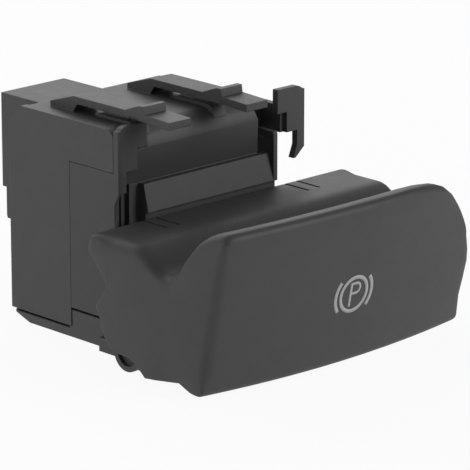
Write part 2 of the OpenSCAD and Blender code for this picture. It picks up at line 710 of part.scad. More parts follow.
// A coil round the hinge pin, with one leg on the frame's bar and one on the carrier's lug
function torsion_path(x0) =
    let(steps = torsion_steps * torsion_turns, pitch = torsion_pitch)
    concat(
        [[x0, hinge_y + torsion_leg, hinge_z + torsion_coil_r]],
        [for (i = [0 : steps])
            let(a = 90 + 360 * i / torsion_steps)
            [x0 + pitch * i / torsion_steps, hinge_y + torsion_coil_r * cos(a), hinge_z + torsion_coil_r * sin(a)]],
        [[x0 + pitch * torsion_turns, hinge_y - torsion_leg, hinge_z + torsion_coil_r]]);
torsion_x = lug_out_x + side_clear + torsion_wire_r;
module right_hinge_spring() {
    color([0.6, 0.6, 0.62])
        wire(torsion_path(torsion_x), torsion_wire_r);
}
module left_hinge_spring() {
    color([0.6, 0.6, 0.62])
        mirror([1, 0, 0])
            wire(torsion_path(torsion_x), torsion_wire_r);
}

// The contact slider, its bridge and its centring springs

slider_back_y = board_y - 2.4;
slider_mid_z = finger_z;
slider_top_z = slider_mid_z + slider_h / 2;
slider_foot_z = slider_mid_z - slider_h / 2;
spring_y = (slider_front_y + slider_back_y) / 2 + 1;
socket_depth = 1.5;
module contact_slider() {
    color([0.75, 0.73, 0.68])
        difference() {
            translate([slider_x - slider_w / 2, slider_front_y, slider_foot_z])
                cube([slider_w, slider_back_y - slider_front_y, slider_h]);
            // Slot for the drive finger, open to the front
            translate([slider_x - finger_w / 2 - slide_clear, slider_front_y - 1, finger_z - finger_r - slide_clear])
                cube([finger_w + 2 * slide_clear, 7, 2 * (finger_r + slide_clear)]);
            // Seats for the springs
            for (z = [slider_foot_z - eps, slider_top_z - socket_depth])
                translate([slider_x, spring_y, z])
                    cylinder(r = coil_r + wire_r + 0.3, h = socket_depth + eps);
        }
}
bridge_t = 0.4;
module contact_bridge() {
    color([0.8, 0.5, 0.25])
        for (side = [-1, 1])
            translate([slider_x + side * 1.8 - 0.6, slider_back_y, slider_mid_z])
                rotate([90, 0, 90])
                    linear_extrude(height = 1.2)
                        polygon([[0, -3], [bridge_t, -3], [bridge_t, 0.6], [2.0, 3.2], [2.0, 3.7], [1.6, 3.7],
                                 [0, 1]]);
}
spring_post_r = coil_r - wire_r - 0.3;
function coil_path(z0, z1) =
    let(steps = 12 * coil_turns)
    [for (i = [0 : steps])
        let(a = 360 * i / 12)
        [slider_x + coil_r * cos(a), spring_y + coil_r * sin(a), mix(z0 + wire_r, z1 - wire_r, i / steps)]];
upper_seat_z = slider_top_z + 7;
lower_seat_z = -wall_depth - seam_gap;
module upper_slider_spring() {
    color([0.62, 0.62, 0.64])
        wire(coil_path(slider_top_z - socket_depth + 0.05, upper_seat_z - 0.05), wire_r);
}
module lower_slider_spring() {
    color([0.62, 0.62, 0.64])
        wire(coil_path(lower_seat_z + 0.05, slider_foot_z + socket_depth - 0.05), wire_r);
}

// Electronics

board_left_x = housing_left_x + housing_wall + 0.4;
board_right_x = housing_right_x - housing_wall - 0.4;
board_top_z = -3;
board_foot_z = -38;
board_boss_x = 5;
board_boss_z = [-8, -33];
board_boss_r = 2.4;
board_bite = 2;
pin_rows = 5;
pin_mid_x = socket_x + socket_w / 2;
pin_mid_z = -socket_h / 2;
module at_pins() {
    for (column = [-1, 1], row = [0 : pin_rows - 1])
        translate([pin_mid_x + column * pin_column_gap / 2, 0, pin_mid_z + (row - (pin_rows - 1) / 2) * pin_pitch])
            children();
}
module circuit_board() {
    color([0.1, 0.35, 0.18])
        difference() {
            translate([board_left_x, board_y, board_foot_z])
                cube([board_right_x - board_left_x, board_t, board_top_z - board_foot_z]);
            for (z = board_boss_z)
                translate([board_boss_x, board_y - 1, z])
                    rotate([-90, 0, 0])
                        cylinder(r = screw_r + 0.15, h = board_t + 2);
            at_pins()
                translate([-pin_side / 2 - 0.1, board_y - 1, -pin_side / 2 - 0.1])
                    cube([pin_side + 0.2, board_t + 2, pin_side + 0.2]);
        }
}
module board_screws() {
    color([0.7, 0.7, 0.72])
        for (z = board_boss_z)
            translate([board_boss_x, board_y, z])
                rotate([90, 0, 0])
                    difference() {
                        thread_screw(board_t + board_bite);
                        translate([-screw_head_r, -0.25, screw_head_h - 0.5])
                            cube([2 * screw_head_r, 0.5, 1]);
                        translate([-0.25, -screw_head_r, screw_head_h - 0.5])
                            cube([0.5, 2 * screw_head_r, 1]);
                    }
}
pin_tip_y = housing_back_y + socket_l - 4.8;
module contact_pins() {
    color([0.8, 0.68, 0.35])
        at_pins()
            translate([-pin_side / 2, board_y - 0.8, -pin_side / 2])
                cube([pin_side, pin_tip_y - board_y + 0.8, pin_side]);
}
header_t = 2.4;
header_clear = 0.15;
module connector_header() {
    color([0.2, 0.2, 0.21])
        difference() {
            translate([socket_x + socket_wall + header_clear, board_y + board_t,
                       -socket_h + socket_wall + header_clear])
                cube([socket_w - 2 * socket_wall - 2 * header_clear, header_t,
                      socket_h - socket_wall - housing_wall - 2 * header_clear]);
            at_pins()
                translate([-pin_side / 2 - 0.02, board_y, -pin_side / 2 - 0.02])
                    cube([pin_side + 0.04, header_t + 6, pin_side + 0.04]);
        }
}
track_t = 0.1;
module contact_tracks() {
    color([0.78, 0.6, 0.3])
        for (side = [-1, 1])
            translate([slider_x + side * 1.8 - 0.8, board_y - track_t, slider_mid_z - 2])
                cube([1.6, track_t, 8.4]);
}
module control_chip() {
    color([0.08, 0.08, 0.08])
        translate([board_right_x - 8, board_y - 1.4, -24])
            cube([5, 1.4, 5]);
}
module chip_resistors() {
    color([0.12, 0.12, 0.12])
        for (i = [0 : 3])
            translate([board_right_x - 8 + i * 1.7, board_y - 0.5, -17])
                cube([0.8, 0.5, 1.6]);
}
light_x = 3;
light_z = -28.5;
light_r = 1.5;
led_t = 1.1;
module backlight_led() {
    color([0.95, 0.95, 0.85])
        translate([light_x - 1.4, board_y - led_t, light_z - 1.4])
            cube([2.8, led_t, 2.8]);
}
module light_pipe() {
    color([0.85, 0.9, 0.95, 0.5])
        translate([light_x, front_wall_y - 1.2, light_z])
            rotate([-90, 0, 0])
                cylinder(r = light_r, h = board_y - led_t - 0.3 - front_wall_y + 1.2);
}

// The shell: roof with snap arms, side and back walls and the plug socket

arm_ramp = 0.62;
module snap_arm(x) {
    foot_y = arm_back_y - arm_foot_l;
    translate([x, 0, 0])
        rotate([90, 0, 90])
            linear_extrude(height = arm_w)
                polygon([[arm_back_y, -0.2], [arm_back_y, 1.0], [arm_back_y - arm_foot_l + 1, arm_top],
                         [tooth_y + 5.2, arm_top], [tooth_y + 1.4, arm_top + tooth_h],
                         [tooth_y + 0.2, arm_top + tooth_h], [tooth_y, arm_top],
                         [tooth_y - tab_l, arm_top - 0.3], [tooth_y - tab_l, arm_top - 0.3 - arm_t],
                         [tooth_y, arm_top - arm_t], [foot_y, arm_top - arm_t], [foot_y + 1.2, -0.2]]);
}
// A low rib under an arm, which runs forward over the rolled edge of the roof
rib_back_y = 11.8;
module roof_rib(x) {
    top = roof_rib_h;
    translate([x + 1.1, 0, 0])
        rotate([90, 0, 90])
            linear_extrude(height = arm_w - 2.2)
                polygon([[rib_back_y, -0.3], [rib_back_y, top - 0.3], [rib_back_y - 0.8, top], [2.4, top],
                         [1.4, top - 0.35], [0.7, -0.7], [0.5, -1.8], [1.5, -1.8], [2.5, -0.9], [4.2, -0.3]]);
}
// Side view of the roof, which rolls over into an apron that leans back to the sloping panel
apron_foot_z = front_wall_top_z + seam_gap;
apron_foot_y = 2.4;
apron_foot_t = 1.5;
roof_profile = concat(
    [[housing_back_y, -housing_wall], [housing_back_y, 0]],
    arc(roof_edge_r, -roof_edge_r, roof_edge_r, 90, 180, 8),
    [[apron_foot_y, apron_foot_z], [apron_foot_y + apron_foot_t, apron_foot_z]],
    arc(roof_edge_r, -roof_edge_r, roof_edge_r - housing_wall, 180, 90, 6));
// Side view of the side walls' upper part, which ends inside the roll and the apron
function apron_y(z) = apron_foot_y * (roof_edge_r + z) / (roof_edge_r + apron_foot_z);
side_outline = [
    [split_y + lap, -lap], [0.7 * roof_edge_r, -lap], [0.6, -roof_edge_r], [apron_y(side_seam_z) + 0.6, side_seam_z],
    [split_y + lap, side_seam_z]
];
module roof_and_apron() {
    apron_left_x = housing_left_x + housing_wall + seam_gap;
    intersection() {
        translate([housing_left_x, 0, 0])
            rotate([90, 0, 90])
                linear_extrude(height = housing_w + flare)
                    polygon(roof_profile);
        xz_plate(-1, housing_back_y + 2,
                 [[housing_left_x - 1, 1], [housing_right_x, 1], [housing_right_x, -housing_wall],
                  [flare_x(apron_foot_z - 1), apron_foot_z - 1], [apron_left_x, apron_foot_z - 1],
                  [apron_left_x, side_seam_z], [housing_left_x - 1, side_seam_z]]);
    }
}
module left_wall() {
    back = housing_back_y + fin_l;
    translate([housing_left_x, 0, 0])
        rotate([90, 0, 90])
            linear_extrude(height = housing_wall)
                difference() {
                    union() {
                        translate([split_y, -wall_depth])
                            square([housing_back_y - split_y, wall_depth - lap]);
                        translate([housing_back_y - lap, -wall_depth])
                            square([fin_l + lap, wall_depth]);
                        intersection() {
                            polygon(side_outline);
                            translate([hook_t + seam_gap, side_seam_z])
                                square([split_y + lap - hook_t - seam_gap, -side_seam_z]);
                        }
                    }
                    polygon([[back - fin_chamfer, eps], [back + 1, eps], [back + 1, -fin_chamfer - 1]]);
                }
}
arm1_x = housing_left_x + arm_inset;
arm2_x = arm1_x + arm_pitch;
key_z = 18;
module socket_block() {
    difference() {
        translate([socket_x, housing_back_y - housing_wall, -socket_h])
            cube([socket_w, socket_l + housing_wall, socket_h]);
        translate([socket_x + socket_wall, housing_back_y - housing_wall - 1, -socket_h + socket_wall])
            cube([socket_w - 2 * socket_wall, socket_l + housing_wall + 2, socket_h - 2 * socket_wall]);
        // Keying step in the lower part of the rear left edge
        translate([socket_x - 1, housing_back_y + socket_l - 1.2, -socket_h - 1])
            cube([1.9, 2, socket_h - key_z + 1]);
    }
}
module housing_shell() {
    color([0.16, 0.16, 0.165]) {
        difference() {
            union() {
                roof_and_apron();
                left_wall();
                translate([housing_right_x - housing_wall, split_y, -wall_depth])
                    cube([housing_wall, housing_back_y - split_y, wall_depth - lap]);
                translate([housing_right_x - housing_wall, 0, 0])
                    rotate([90, 0, 90])
                        linear_extrude(height = housing_wall)
                            polygon(side_outline);
                // Back wall with the opening into the socket
                difference() {
                    translate([housing_left_x, housing_back_y - housing_wall, -wall_depth])
                        cube([housing_w, housing_wall, wall_depth]);
                    translate([socket_x + socket_wall, housing_back_y - housing_wall - 1, -socket_h + socket_wall])
                        cube([socket_w - 2 * socket_wall, housing_wall + 2, socket_h - 2 * socket_wall]);
                }
                socket_block();
                for (x = [arm1_x, arm2_x]) {
                    snap_arm(x);
                    roof_rib(x);
                }
                // Screw posts for the board
                for (z = board_boss_z)
                    translate([board_boss_x, board_y + board_t, z])
                        rotate([-90, 0, 0])
                            cylinder(r = board_boss_r, h = housing_back_y - board_y - board_t - 1);
                // Post over the upper spring
                translate([slider_x, spring_y, upper_seat_z])
                    cylinder(r = coil_r + 0.8, h = -upper_seat_z - 1);
            }
            for (z = board_boss_z)
                translate([board_boss_x, board_y + board_t - 1, z])
                    rotate([-90, 0, 0])
                        cylinder(r = screw_r + pilot_clear, h = board_bite + 1.6);
            // Relief round the left hook
            for (relief = [[hook_head_w, hook_head_h], [hook_neck_w, hook_neck_h]])
                translate([-hook_x - 1, -1, -relief.y - seam_gap])
                    cube([relief.x + 1 + seam_gap, hook_t + 1 + seam_gap, relief.y + 2]);
        }
    }
}

spring_well = 8;
// One level of the base: a plate with round corners
module base_level(inset, back_y, z, h) {
    x0 = housing_left_x + base_inset + inset + base_r;
    x1 = housing_right_x - base_inset - inset - base_r;
    for (x = [x0, x1], y = [base_front_y + inset + base_r, back_y - base_r])
        translate([x, y, z])
            cylinder(r = base_r, h = h, $fn = 32);
}
module base_cover() {
    x0 = housing_left_x + base_inset;
    x1 = housing_right_x - base_inset;
    back_y = housing_back_y + fin_l - 0.2;
    block_y = front_wall_y + front_wall_t + 2 * seam_gap;
    top_z = -wall_depth - seam_gap;
    color([0.13, 0.13, 0.135])
        difference() {
            union() {
                hull() {
                    base_level(0, back_y, top_z - 0.8, 0.8);
                    base_level(0.3, back_y - base_slope, base_z, 0.4);
                }
                translate([x0, block_y, top_z - lap])
                    cube([x1 - x0, split_y - block_y - seam_gap, -frame_side_depth - seam_gap - top_z + lap]);
            }
            translate([slider_x - spring_well / 2, spring_y - spring_well / 2, top_z])
                cube([spring_well, spring_well, spring_well]);
            // Shadow grooves under the side walls
            for (x = [x0 - 1, x1 - 1]) {
                translate([x, split_y + 0.6, top_z - groove])
                    cube([2, back_y, groove + 1]);
                translate([x, base_front_y + 4.9, -frame_side_depth - seam_gap - groove])
                    cube([2, split_y, groove + 1]);
            }
        }
}

housing_shell();
front_frame();
base_cover();
circuit_board();
connector_header();
contact_pins();
board_screws();
contact_tracks();
control_chip();
chip_resistors();
backlight_led();
light_pipe();
left_hinge_pin();
right_hinge_pin();
left_hinge_spring();
right_hinge_spring();
upper_slider_spring();
lower_slider_spring();
contact_slider();
contact_bridge();
paddle_shell();
paddle_carrier();
carrier_screws();
symbol_diffuser();
stop_pads();
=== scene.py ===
import json
import math
import bpy
from mathutils import Matrix, Vector
from mathutils.bvhtree import BVHTree


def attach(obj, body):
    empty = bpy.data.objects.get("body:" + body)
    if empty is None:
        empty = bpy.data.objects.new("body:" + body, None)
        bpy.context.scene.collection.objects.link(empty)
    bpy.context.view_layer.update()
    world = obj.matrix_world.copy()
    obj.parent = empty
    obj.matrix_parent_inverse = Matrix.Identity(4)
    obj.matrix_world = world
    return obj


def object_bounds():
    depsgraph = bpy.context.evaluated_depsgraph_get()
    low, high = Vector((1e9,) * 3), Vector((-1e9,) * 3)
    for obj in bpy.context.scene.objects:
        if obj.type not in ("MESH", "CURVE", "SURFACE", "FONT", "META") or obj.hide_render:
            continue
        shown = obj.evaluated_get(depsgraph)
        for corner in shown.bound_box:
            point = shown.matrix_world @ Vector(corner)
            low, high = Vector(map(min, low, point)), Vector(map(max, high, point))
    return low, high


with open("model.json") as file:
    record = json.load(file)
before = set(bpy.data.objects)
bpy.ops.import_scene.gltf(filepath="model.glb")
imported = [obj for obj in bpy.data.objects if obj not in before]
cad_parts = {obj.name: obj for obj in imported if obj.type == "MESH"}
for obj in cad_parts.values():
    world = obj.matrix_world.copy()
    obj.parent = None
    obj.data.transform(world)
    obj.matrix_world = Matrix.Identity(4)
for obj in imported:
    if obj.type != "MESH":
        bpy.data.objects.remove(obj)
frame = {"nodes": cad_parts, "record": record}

CAD_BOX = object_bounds()
MM = 0.001
RECORD_SLOTS = {m["slot"]: m for m in frame["record"]["materials"]}
NODE_SLOTS = {s["node"]: s["material_slot"] for s in frame["record"]["subparts"]}
PADDLE_NODE = "paddle_shell"
WHITE = (1, 1, 1, 1)


# Camera, fitted to the photograph's straight edges

CAMERA_AZIMUTH = math.radians(-43.8)
CAMERA_ELEVATION = math.radians(16.4)
CAMERA_TARGET_MM = Vector((-23.4, 0, 0))
CAMERA_DISTANCE_MM = 658.6
CAMERA_RIGHT_MM = 20.83
CAMERA_UP_MM = -18.23
CLIP_START_MM = 10
SENSOR_MM = 36
FOCAL_PX = 3700
FRAME_PX = 470


def add_camera():
    back = Vector((
        math.sin(CAMERA_AZIMUTH) * math.cos(CAMERA_ELEVATION),
        -math.cos(CAMERA_AZIMUTH) * math.cos(CAMERA_ELEVATION),
        math.sin(CAMERA_ELEVATION)))
    right = Vector((math.cos(CAMERA_AZIMUTH), math.sin(CAMERA_AZIMUTH), 0))
    up = back.cross(right)
    place = CAMERA_TARGET_MM + back * CAMERA_DISTANCE_MM
    place += right * CAMERA_RIGHT_MM
    place += up * CAMERA_UP_MM
    data = bpy.data.cameras.new("photo_camera")
    data.sensor_fit = "HORIZONTAL"
    data.sensor_width = SENSOR_MM
    data.lens = SENSOR_MM * FOCAL_PX / FRAME_PX
    data.clip_start = CLIP_START_MM * MM
    camera = bpy.data.objects.new("photo_camera", data)
    turn = Matrix((right, up, back)).transposed().to_4x4()
    camera.matrix_world = Matrix.Translation(place * MM) @ turn
    bpy.context.scene.collection.objects.link(camera)
    bpy.context.scene.camera = camera


# Materials

EDGE_SAMPLES = 6
EDGE_FULL_COSINE = 0.75  # the rolled normal's cosine at which an edge takes the whole painted highlight
# Random spread of the painted edge highlight's lightness
EDGE_HIGHLIGHT_SPREAD = 0.15


def shade(color, factor):
    return tuple(min(1.0, c * factor) for c in color)


class Nodes:
    """A short way to write a material's node tree. Sizes and depths are in mm."""

    def __init__(self, name):
        self.material = bpy.data.materials.new(name)
        self.material.use_nodes = True
        self.tree = self.material.node_tree
        self.shader = self.tree.nodes["Principled BSDF"]
        self.position = self.add("ShaderNodeTexCoord").outputs["Object"]

    def add(self, kind, **values):
        node = self.tree.nodes.new(kind)
        for key, value in values.items():
            if hasattr(node, key):
                setattr(node, key, value)
            else:
                node.inputs[key].default_value = value
        return node

    def link(self, source, target):
        self.tree.links.new(source, target)

    def noise(self, size_mm, detail=2.0, rough=0.5):
        node = self.add("ShaderNodeTexNoise", Detail=detail, Roughness=rough)
        node.inputs["Scale"].default_value = 1 / (size_mm * MM)
        self.link(self.position, node.inputs["Vector"])
        return node.outputs["Fac"]

    def map_range(self, source, low, high):
        node = self.add("ShaderNodeMapRange")
        node.inputs["To Min"].default_value = low
        node.inputs["To Max"].default_value = high
        self.link(source, node.inputs["Value"])
        return node.outputs["Result"]

    def color_between(self, factor, color, low, high):
        """The colour times low to the colour times high, by the factor output."""
        node = self.add("ShaderNodeMix", data_type="RGBA")
        node.inputs["A"].default_value = (*shade(color, low), 1)
        node.inputs["B"].default_value = (*shade(color, high), 1)
        self.link(factor, node.inputs["Factor"])
        return node.outputs["Result"]

    def mix(self, factor, first, second):
        """Mixes two colour outputs."""
        node = self.add("ShaderNodeMix", data_type="RGBA")
        self.link(first, node.inputs["A"])
        self.link(second, node.inputs["B"])
        self.link(factor, node.inputs["Factor"])
        return node.outputs["Result"]

    def set_color(self, source):
        self.link(source, self.shader.inputs["Base Color"])

    def set_gloss(self, source, low, high):
        self.link(self.map_range(source, low, high), self.shader.inputs["Roughness"])

    def bump(self, height, depth_mm, base=None):
        node = self.add("ShaderNodeBump", Strength=1.0, Distance=depth_mm * MM)
        self.link(height, node.inputs["Height"])
        if base is not None:
            self.link(base, node.inputs["Normal"])
        self.link(node.outputs["Normal"], self.shader.inputs["Normal"])

    def soft_edge(self, radius_mm):
        """The normal rolled over an edge, and how much it leaves the face's own (0 to 1)."""
        bevel = self.add("ShaderNodeBevel", samples=EDGE_SAMPLES, Radius=radius_mm * MM)
        rolled = bevel.outputs["Normal"]
        plain = self.add("ShaderNodeNewGeometry").outputs["Normal"]
        same = self.add("ShaderNodeVectorMath", operation="DOT_PRODUCT")
        self.link(rolled, same.inputs[0])
        self.link(plain, same.inputs[1])
        share = self.add("ShaderNodeMapRange")
        self.link(same.outputs["Value"], share.inputs["Value"])
        share.inputs["From Min"].default_value = 1.0
        share.inputs["From Max"].default_value = EDGE_FULL_COSINE
        return rolled, share.outputs["Result"]


def moulded_plastic(name, color, grain_mm, grain_depth_mm, rough,
                    rough_spread=0.06, mottle=0.08, edge_mm=0.25, edge_highlight_gain=1.5):
    """Injection moulding: fine grain, faint mottling, uneven gloss, soft edges, and edges made
    lighter by a painted highlight.
    """
    m = Nodes(name)
    cloud = m.noise(9.0, detail=3.0)
    body = m.color_between(cloud, color, 1 - mottle, 1 + mottle)
    # Painted highlight: edges get a lighter copy of the colour, standing in for the light on their
    # fillets
    edge_highlight_noise = m.noise(1.6)
    highlighted_edge_color = m.color_between(edge_highlight_noise, color, edge_highlight_gain * (1 - EDGE_HIGHLIGHT_SPREAD), edge_highlight_gain * (1 + EDGE_HIGHLIGHT_SPREAD))
    rolled, edge = m.soft_edge(edge_mm)
    m.set_color(m.mix(edge, body, highlighted_edge_color))
    m.set_gloss(m.noise(3.0, detail=4.0), rough - rough_spread, rough + rough_spread)
    m.bump(m.noise(grain_mm, detail=3.0, rough=0.6), grain_depth_mm, base=rolled)
    m.shader.inputs["Specular IOR Level"].default_value = 0.5
    return m.material


def printed_ink(name, color):
    """Backlit print: pale satin ink with faint unevenness."""
    m = Nodes(name)
    m.set_color(m.color_between(m.noise(0.8), color, low=0.94, high=1.06))
    m.set_gloss(m.noise(0.5), low=0.4, high=0.5)
    m.bump(m.noise(0.2), depth_mm=0.003)
    return m.material


def drawn_metal(name, color, rough):
    """Metal with fine marks of drawing or plating."""
    m = Nodes(name)
    m.shader.inputs["Metallic"].default_value = 1.0
    m.set_color(m.color_between(m.noise(1.2), color, low=0.85, high=1.1))
    m.set_gloss(m.noise(0.25, detail=5.0), low=rough - 0.08, high=rough + 0.1)
    m.bump(m.noise(0.15), depth_mm=0.005)
    return m.material


def clear_plastic(name, color, rough):
    """Milky clear moulding."""
    m = Nodes(name)
    m.shader.inputs["Transmission Weight"].default_value = 0.6
    m.set_color(m.color_between(m.noise(2.0), color, low=0.92, high=1.0))
    m.set_gloss(m.noise(1.0), low=rough, high=rough + 0.1)
    return m.material


def solder_mask(name, color):
    """Circuit board: green lacquer with a faint weave under it."""
    m = Nodes(name)
    weave = m.add("ShaderNodeTexChecker", Scale=1100.0)
    m.link(m.position, weave.inputs["Vector"])
    m.set_color(m.color_between(m.noise(2.5), color, low=0.8, high=1.2))
    m.set_gloss(m.noise(0.8), low=0.25, high=0.38)
    m.bump(weave.outputs["Fac"], depth_mm=0.008)
    return m.material


def material_for(slot):
    color = tuple(RECORD_SLOTS[slot]["base_color"])
    if slot in ("housing_plastic", "frame_plastic", "inner_plastic"):
        return moulded_plastic(slot, color, grain_mm=0.35, grain_depth_mm=0.01, rough=0.55)
    if slot == "paddle_skin":
        return moulded_plastic(slot, color, grain_mm=0.28, grain_depth_mm=0.006, rough=0.56,
                               edge_mm=0.15, edge_highlight_gain=1.2)
    if slot in ("slider_plastic", "chip_black", "pad_rubber", "led_lens"):
        return moulded_plastic(slot, color, grain_mm=0.5, grain_depth_mm=0.01, rough=0.45)
    if slot == "clear_plastic":
        return clear_plastic(slot, color, rough=0.12)
    if slot == "board_green":
        return solder_mask(slot, color)
    return drawn_metal(slot, color, rough=0.32)


MATERIALS = {slot: material_for(slot) for slot in RECORD_SLOTS}


# The paddle's right upper corner is fuller and rounder in the photograph than the CAD skin's.
# Modifiers shift the skin's points there, inside the part's box. All sizes are in mm.

MOST_SHIFT = 8.0
LIP_ROOT_Y = -20.4
LIP_ROOT_Z = -20.6
LIP_TOP_Z = -9.6
LIP_CROWN = 0.6
HALF_WIDTH = 31.8
RIGHT_END_X = 32.4
CAD_CORNER_WIDTH = 20.0
CAD_CORNER_HEIGHT = 14.3
CAD_CORNER_POWER = 1.6
CAD_LEAST_LIP = 1
LEAST_LIP = 0.5
CORNER_LINE = [
    (8, -9.6), (13.5, -9.7), (18.3, -10.15), (21, -10.8), (23.1, -11.7), (25, -12.9),
    (26.7, -14.4), (28.9, -17.0), (30.5, -19.9), (31.5, -22.5), (32.6, -26), (35, -27)]
END_SHIFT = 0.4
# Where a share starts from zero, and over what length it grows to one
END_FADE_X = (14, 18)
END_FADE_Z = (-28, 8)
SOFT_FADE_X = (26, 3)
SOFT_FADE_Z = (-30, 4)
# The same for the shares that grow towards the face: shifting starts at the lip's root
FORWARD_FADE = 5
SOFT_BACK_Y = LIP_ROOT_Y + 2
SOFT_FORWARD_FADE = 3
SOFT_FACTOR = 0.5
SOFT_ROUNDS = 6


def soft_step(value):
    t = min(1.0, max(0.0, value))
    return t * t * (3 - 2 * t)


def fade_in(value, fade):
    start, length = fade
    return soft_step((value - start) / length)


def cad_lip_top(x):
    """Height of the CAD lip at x."""
    near_end = min(1.0, max(0.0, 1 - (HALF_WIDTH - x) / CAD_CORNER_WIDTH))
    drop = CAD_CORNER_HEIGHT * (1 - (1 - near_end ** CAD_CORNER_POWER) ** (1 / CAD_CORNER_POWER))
    return max(LIP_TOP_Z - LIP_CROWN * (x / HALF_WIDTH) ** 2 - drop, LIP_ROOT_Z + CAD_LEAST_LIP)


def photo_lip_top(x):
    """Height of the photographed lip at x."""
    for (x0, z0), (x1, z1) in zip(CORNER_LINE, CORNER_LINE[1:]):
        if x <= x1:
            return z0 + (z1 - z0) * max(0.0, x - x0) / (x1 - x0)
    return CORNER_LINE[-1][1]


def corner_shift(point):
    """How far a point of the CAD skin goes along X and Z."""
    x, y, z = point
    if x < CORNER_LINE[0][0] or y > LIP_ROOT_Y:
        return 0.0, 0.0
    forward = soft_step((LIP_ROOT_Y - y) / FORWARD_FADE)
    dx = -END_SHIFT * fade_in(z, END_FADE_Z) * fade_in(x, END_FADE_X) * forward
    top = photo_lip_top(x + dx)
    dz = 0.0
    if z > LIP_ROOT_Z:
        cad_top = cad_lip_top(x * HALF_WIDTH / RIGHT_END_X)
        rise = max(top, LIP_ROOT_Z + LEAST_LIP) - cad_top
        dz = (z - LIP_ROOT_Z) * rise / (cad_top - LIP_ROOT_Z)
    return dx, dz + min(0.0, top - z - dz) * forward


def corner_softness(point):
    """Share of smoothing at a point of the CAD skin."""
    x, y, z = point
    forward = soft_step((SOFT_BACK_Y - y) / SOFT_FORWARD_FADE)
    return fade_in(x, SOFT_FADE_X) * forward * fade_in(z, SOFT_FADE_Z)


def add_group(node, name, shares):
    group = node.vertex_groups.new(name=name)
    for i, share in shares.items():
        group.add([i], min(1.0, share), "REPLACE")
    return group.name


def shift_corner(node, points):
    """Displace modifiers, one for each axis and direction that is needed."""
    shifts = [corner_shift(p) for p in points]
    for axis, k in (("X", 0), ("Z", 1)):
        for sign in (-1, 1):
            shares = {i: sign * s[k] / MOST_SHIFT for i, s in enumerate(shifts) if sign * s[k] > 0}
            if not shares:
                continue
            name = add_group(node, f"corner_{axis}_{sign}", shares)
            push = node.modifiers.new(name, "DISPLACE")
            push.direction = axis
            push.mid_level = 0.0
            push.strength = sign * MOST_SHIFT * MM
            push.vertex_group = name


def relax_corner(node, points):
    softness = {i: corner_softness(p) for i, p in enumerate(points)}
    name = add_group(node, "corner_soft", {i: s for i, s in softness.items() if s > 0})
    relax = node.modifiers.new("relax_corner", "SMOOTH")
    relax.factor = SOFT_FACTOR
    relax.iterations = SOFT_ROUNDS
    relax.vertex_group = name


# The CAD nodes' finish

SMOOTH_ANGLE = math.radians(32)
WELD_MM = 0.002


def finish_cad_nodes():
    """Gives each CAD node its slot's material, and smooth shading up to its sharp edges."""
    for name, node in frame["nodes"].items():
        mesh = node.data
        mesh.materials.clear()
        mesh.materials.append(MATERIALS[NODE_SLOTS[name]])
        mesh.shade_smooth()
        points = [v.co / MM for v in mesh.vertices]
        if name == PADDLE_NODE:
            shift_corner(node, points)
        weld = node.modifiers.new("weld", "WELD")
        weld.merge_threshold = WELD_MM * MM
        if name == PADDLE_NODE:
            relax_corner(node, points)
        split = node.modifiers.new("sharp_edges", "EDGE_SPLIT")
        split.split_angle = SMOOTH_ANGLE
        split.use_edge_sharp = False


def add_piece(name, corners, faces, material, body):
    """A scene piece from corners in metres, which rides on a body."""
    mesh = bpy.data.meshes.new(name)
    mesh.from_pydata(corners, [], faces)
    mesh.materials.append(material)
    mesh.shade_smooth()
    piece = bpy.data.objects.new(name, mesh)
    bpy.context.scene.collection.objects.link(piece)
    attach(piece, body)
    return piece


# Small moulded forms of the front frame, beside the sloping panel, in mm

FRAME_SLOT = "frame_plastic"
POCKET_X = (-22.3, -18.4)
POCKET_Z = (-19.6, -8.2)
POCKET_BACK_Y = 6.1
POCKET_RIB_Y = 3.5
POCKET_GROOVE_Y = 4.0
POCKET_EDGE = 0.12
RIB_COUNT = 3
GROOVE_SHARE = 0.3
CHEEK_X = (15.35, 16.45)
CHEEK_Y = (0.05, 7.9)
CHEEK_Z = (-8.6, -6.9)
CHEEK_EDGE = 0.2
EDGE_SEGMENTS = 3


def add_frame_prism(name, outline, heights, edge_mm):
    """Upright prism on an XY outline, with rounded edges, fixed to the front frame."""
    count = len(outline)
    corners = [Vector((x, y, z)) * MM for z in heights for x, y in outline]
    faces = [tuple(range(count))[::-1], tuple(range(count, 2 * count))]
    faces += [(i, (i + 1) % count, count + (i + 1) % count, count + i) for i in range(count)]
    piece = add_piece(name, corners, faces, MATERIALS[FRAME_SLOT], "housing")
    bevel = piece.modifiers.new("round_edges", "BEVEL")
    bevel.width = edge_mm * MM
    bevel.segments = EDGE_SEGMENTS


def add_pocket_ribs():
    """Ribbed filler in the pocket between the left wall and the panel."""
    left, right = POCKET_X
    pitch = (right - left) / RIB_COUNT
    rib = pitch * (1 - GROOVE_SHARE)
    outline = []
    for i in range(RIB_COUNT):
        start = left + i * pitch
        outline += [(start, POCKET_RIB_Y), (start + rib, POCKET_RIB_Y)]
        if i < RIB_COUNT - 1:
            outline += [(start + rib, POCKET_GROOVE_Y), (start + pitch, POCKET_GROOVE_Y)]
    outline += [(right, POCKET_RIB_Y), (right, POCKET_BACK_Y), (left, POCKET_BACK_Y)]
    add_frame_prism("pocket_ribs", outline, POCKET_Z, POCKET_EDGE)


def add_cheek_rise():
    """The right cheek's top edge, up to the hook's neck."""
    (x0, x1), (y0, y1) = CHEEK_X, CHEEK_Y
    outline = [(x0, y0), (x1, y0), (x1, y1), (x0, y1)]
    add_frame_prism("cheek_rise", outline, CHEEK_Z, CHEEK_EDGE)


# The generic parking brake sign on the paddle's face, as a thin print, in mm

